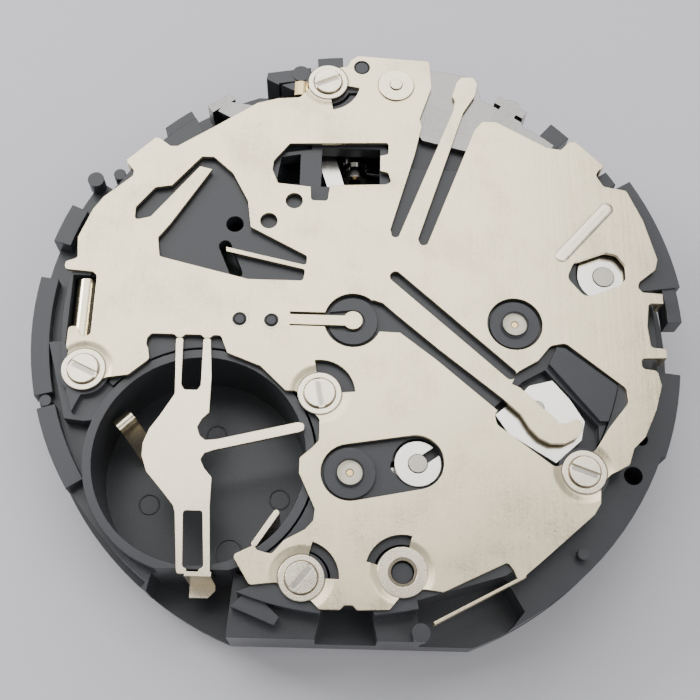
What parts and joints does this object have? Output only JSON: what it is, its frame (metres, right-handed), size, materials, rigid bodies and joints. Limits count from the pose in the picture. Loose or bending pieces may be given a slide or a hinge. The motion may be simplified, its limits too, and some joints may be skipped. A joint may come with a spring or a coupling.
{
  "type": "quartz watch movement",
  "caption": "Quartz chronograph movement with battery well, spring cover sheet, heart-reset hammers, two stepping motors and geared hand posts.",
  "frame": {"origin": "on the axis of the hands, in the plane that the dial rests on", "axes": "+X to 12 o'clock, +Y to the winding stem at 3 o'clock, +Z away from the dial, to the battery side"},
  "size_m": [0.0309, 0.0294, 0.0067],
  "materials": {
    "plate_plastic": "matt moulded",
    "bridge_plastic": "matt moulded",
    "cover_nickel": "warm nickel, lightly mottled",
    "clamp_nickel": "satin",
    "screw_steel": "polished",
    "lever_steel": "bright satin",
    "post_steel": "turned",
    "wheel_brass": "satin",
    "wheel_plastic": "smooth",
    "date_ring": "matt white",
    "guard_steel": "satin",
    "bush_white": "smooth",
    "coil_copper": "enamelled wire",
    "core_alloy": "dull",
    "board_green": "lacquered",
    "chip_black": "moulded",
    "crystal_can": "drawn can"
  },
  "bodies": {
    "movement": {"main_plate": "plate_plastic", "circuit_cover": "cover_nickel", "cover_screws": "screw_steel", "cover_rivet": "post_steel", "chronograph_bridge": "bridge_plastic", "pivot_bushes": "bush_white", "train_bridge": "guard_steel", "lever_posts": "post_steel", "coil_core": "core_alloy", "coil_winding": "coil_copper", "stator": "core_alloy", "chrono_coil_core": "core_alloy", "chrono_coil_winding": "coil_copper", "chrono_stator": "core_alloy", "circuit_board": "board_green", "ic_block": "chip_black", "quartz_crystal": "crystal_can", "battery_contact": "clamp_nickel", "positive_contact": "clamp_nickel", "date_jumper": "lever_steel", "date_guard": "guard_steel", "guard_screws": "screw_steel"},
    "center_wheel": {"center_wheel": "wheel_brass"},
    "third_wheel": {"third_wheel": "wheel_brass"},
    "fifth_wheel": {"fifth_wheel": "wheel_brass"},
    "rotor": {"rotor": "wheel_plastic"},
    "cannon_pinion": {"cannon_pinion": "wheel_brass"},
    "minute_wheel": {"minute_wheel": "wheel_brass"},
    "hour_wheel": {"hour_wheel": "wheel_plastic"},
    "day_wheel": {"day_wheel": "wheel_plastic"},
    "date_driver": {"date_driver": "wheel_plastic"},
    "date_dial": {"date_dial": "date_ring"},
    "chrono_second_wheel": {"chrono_second_wheel": "wheel_brass"},
    "chrono_first_wheel": {"chrono_first_wheel": "wheel_brass"},
    "chrono_drive_wheel": {"chrono_drive_wheel": "wheel_brass"},
    "chrono_rotor": {"chrono_rotor": "wheel_plastic"},
    "chrono_transfer_wheel": {"chrono_transfer_wheel": "wheel_brass"},
    "chrono_idler": {"chrono_idler": "wheel_brass"},
    "minute_counter_wheel": {"minute_counter_wheel": "wheel_brass"},
    "reset_lever": {"reset_lever": "lever_steel"},
    "second_hammer": {"second_hammer": "lever_steel"},
    "minute_hammer": {"minute_hammer": "lever_steel"},
    "start_stop_lever": {"start_stop_lever": "lever_steel"},
    "coupling_lever": {"coupling_lever": "lever_steel"},
    "setting_lever": {"setting_lever": "lever_steel"},
    "yoke": {"yoke": "lever_steel"},
    "clutch_wheel": {"clutch_wheel": "post_steel"},
    "setting_wheel": {"setting_wheel": "wheel_brass"},
    "battery_clamp": {"battery_clamp": "clamp_nickel"}
  },
  "joints": [
    {"name": "fifth_wheel_spin", "type": "hinge", "parent": "movement", "child": "fifth_wheel", "pos_m": [0.00523, -0.00396, 0.001], "axis": [0, 0, 1], "continuous": true},
    {"name": "third_wheel_spin", "type": "hinge", "parent": "movement", "child": "third_wheel", "pos_m": [0.00263, -0.00246, 0.001], "axis": [0, 0, 1], "continuous": true},
    {"name": "center_wheel_spin", "type": "hinge", "parent": "movement", "child": "center_wheel", "pos_m": [0, 0, 0.001], "axis": [0, 0, 1], "continuous": true},
    {"name": "rotor_spin", "type": "hinge", "parent": "movement", "child": "rotor", "pos_m": [0.00677, -0.00579, 0.001], "axis": [0, 0, 1], "continuous": true},
    {"name": "cannon_pinion_spin", "type": "hinge", "parent": "movement", "child": "cannon_pinion", "pos_m": [0, 0, 0.001], "axis": [0, 0, 1], "continuous": true},
    {"name": "minute_wheel_spin", "type": "hinge", "parent": "movement", "child": "minute_wheel", "pos_m": [0.00246, -0.00172, 0.001], "axis": [0, 0, 1], "continuous": true},
    {"name": "hour_wheel_spin", "type": "hinge", "parent": "movement", "child": "hour_wheel", "pos_m": [0, 0, 0.001], "axis": [0, 0, 1], "continuous": true},
    {"name": "day_wheel_spin", "type": "hinge", "parent": "movement", "child": "day_wheel", "pos_m": [0, 0.0072, 0.001], "axis": [0, 0, 1], "continuous": true},
    {"name": "date_driver_spin", "type": "hinge", "parent": "movement", "child": "date_driver", "pos_m": [-0.00624, 0.0036, 0.001], "axis": [0, 0, 1], "continuous": true},
    {"name": "date_dial_spin", "type": "hinge", "parent": "movement", "child": "date_dial", "pos_m": [0, 0, 0.001], "axis": [0, 0, 1], "continuous": true},
    {"name": "chrono_second_wheel_spin", "type": "hinge", "parent": "movement", "child": "chrono_second_wheel", "pos_m": [0, 0, 0.001], "axis": [0, 0, 1], "continuous": true},
    {"name": "chrono_first_wheel_spin", "type": "hinge", "parent": "movement", "child": "chrono_first_wheel", "pos_m": [0.00236, -0.00239, 0.001], "axis": [0, 0, 1], "continuous": true},
    {"name": "chrono_drive_wheel_spin", "type": "hinge", "parent": "movement", "child": "chrono_drive_wheel", "pos_m": [0.00758, 0.00004, 0.001], "axis": [0, 0, 1], "continuous": true},
    {"name": "chrono_rotor_spin", "type": "hinge", "parent": "movement", "child": "chrono_rotor", "pos_m": [0.01062, -0.00138, 0.001], "axis": [0, 0, 1], "continuous": true},
    {"name": "chrono_transfer_wheel_spin", "type": "hinge", "parent": "movement", "child": "chrono_transfer_wheel", "pos_m": [0.00406, -0.006, 0.001], "axis": [0, 0, 1], "continuous": true},
    {"name": "chrono_idler_spin", "type": "hinge", "parent": "movement", "child": "chrono_idler", "pos_m": [0.00236, -0.00688, 0.001], "axis": [0, 0, 1], "continuous": true},
    {"name": "minute_counter_wheel_spin", "type": "hinge", "parent": "movement", "child": "minute_counter_wheel", "pos_m": [-0.00001, -0.00729, 0.001], "axis": [0, 0, 1], "continuous": true},
    {"name": "setting_wheel_spin", "type": "hinge", "parent": "movement", "child": "setting_wheel", "pos_m": [0, 0.0071, 0.001], "axis": [0, 0, 1], "continuous": true},
    {"name": "reset_lever_swing", "type": "hinge", "parent": "movement", "child": "reset_lever", "pos_m": [0.00195, 0.01297, 0.00435], "axis": [0, 0, 1], "range_deg": [-3, 0], "stiffness_Nm_per_rad": 0.000026, "springref_deg": 17.19},
    {"name": "second_hammer_swing", "type": "hinge", "parent": "movement", "child": "second_hammer", "pos_m": [0.00855, -0.0039, 0.00415], "axis": [0, 0, 1], "range_deg": [0, 3]},
    {"name": "minute_hammer_swing", "type": "hinge", "parent": "movement", "child": "minute_hammer", "pos_m": [0.00305, -0.0067, 0.00415], "axis": [0, 0, 1], "range_deg": [0, 6]},
    {"name": "start_stop_lever_swing", "type": "hinge", "parent": "movement", "child": "start_stop_lever", "pos_m": [-0.0033, 0.0103, 0.00435], "axis": [0, 0, 1], "range_deg": [0, 6], "stiffness_Nm_per_rad": 0.0000026, "springref_deg": -22.92},
    {"name": "coupling_lever_swing", "type": "hinge", "parent": "movement", "child": "coupling_lever", "pos_m": [0.012, 0.0028, 0.00415], "axis": [0, 0, 1], "range_deg": [0, 2]},
    {"name": "setting_lever_swing", "type": "hinge", "parent": "movement", "child": "setting_lever", "pos_m": [-0.0019, 0.0109, 0.00329], "axis": [0, 0, 1], "range_deg": [0, 10.1]},
    {"name": "yoke_swing", "type": "hinge", "parent": "movement", "child": "yoke", "pos_m": [0.003, 0.0094, 0.0023], "axis": [0, 0, 1], "range_deg": [-6.1, 0]},
    {"name": "clutch_slide", "type": "slide", "parent": "movement", "child": "clutch_wheel", "axis": [0, 1, 0], "range_m": [0, 0.00025]},
    {"name": "battery_clamp_hinge", "type": "hinge", "parent": "movement", "child": "battery_clamp", "pos_m": [-0.00735, -0.0011, 0.00475], "axis": [-1, 0, 0], "range_deg": [0, 60]}
  ],
  "couplings": [
    {"joint": "third_wheel_spin", "follows": "fifth_wheel_spin", "ratio": -0.25},
    {"joint": "center_wheel_spin", "follows": "fifth_wheel_spin", "ratio": 0.05},
    {"joint": "rotor_spin", "follows": "fifth_wheel_spin", "ratio": -3},
    {"joint": "minute_wheel_spin", "follows": "cannon_pinion_spin", "ratio": -0.33333},
    {"joint": "hour_wheel_spin", "follows": "cannon_pinion_spin", "ratio": 0.083333},
    {"joint": "day_wheel_spin", "follows": "cannon_pinion_spin", "ratio": -0.041667},
    {"joint": "date_driver_spin", "follows": "cannon_pinion_spin", "ratio": -0.041667},
    {"joint": "chrono_first_wheel_spin", "follows": "chrono_second_wheel_spin", "ratio": -0.16667},
    {"joint": "chrono_drive_wheel_spin", "follows": "chrono_second_wheel_spin", "ratio": 0.16667},
    {"joint": "chrono_rotor_spin", "follows": "chrono_second_wheel_spin", "ratio": -1},
    {"joint": "chrono_transfer_wheel_spin", "follows": "chrono_second_wheel_spin", "ratio": 0.027778},
    {"joint": "chrono_idler_spin", "follows": "chrono_second_wheel_spin", "ratio": -0.016667},
    {"joint": "minute_counter_wheel_spin", "follows": "chrono_second_wheel_spin", "ratio": 0.016667},
    {"joint": "second_hammer_swing", "follows": "reset_lever_swing", "ratio": -1},
    {"joint": "minute_hammer_swing", "follows": "reset_lever_swing", "ratio": -2},
    {"joint": "coupling_lever_swing", "follows": "start_stop_lever_swing", "ratio": 0.33333},
    {"joint": "yoke_swing", "follows": "clutch_slide", "rad_per_m": -418.88},
    {"joint": "setting_lever_swing", "follows": "clutch_slide", "rad_per_m": 698.13}
  ]
}
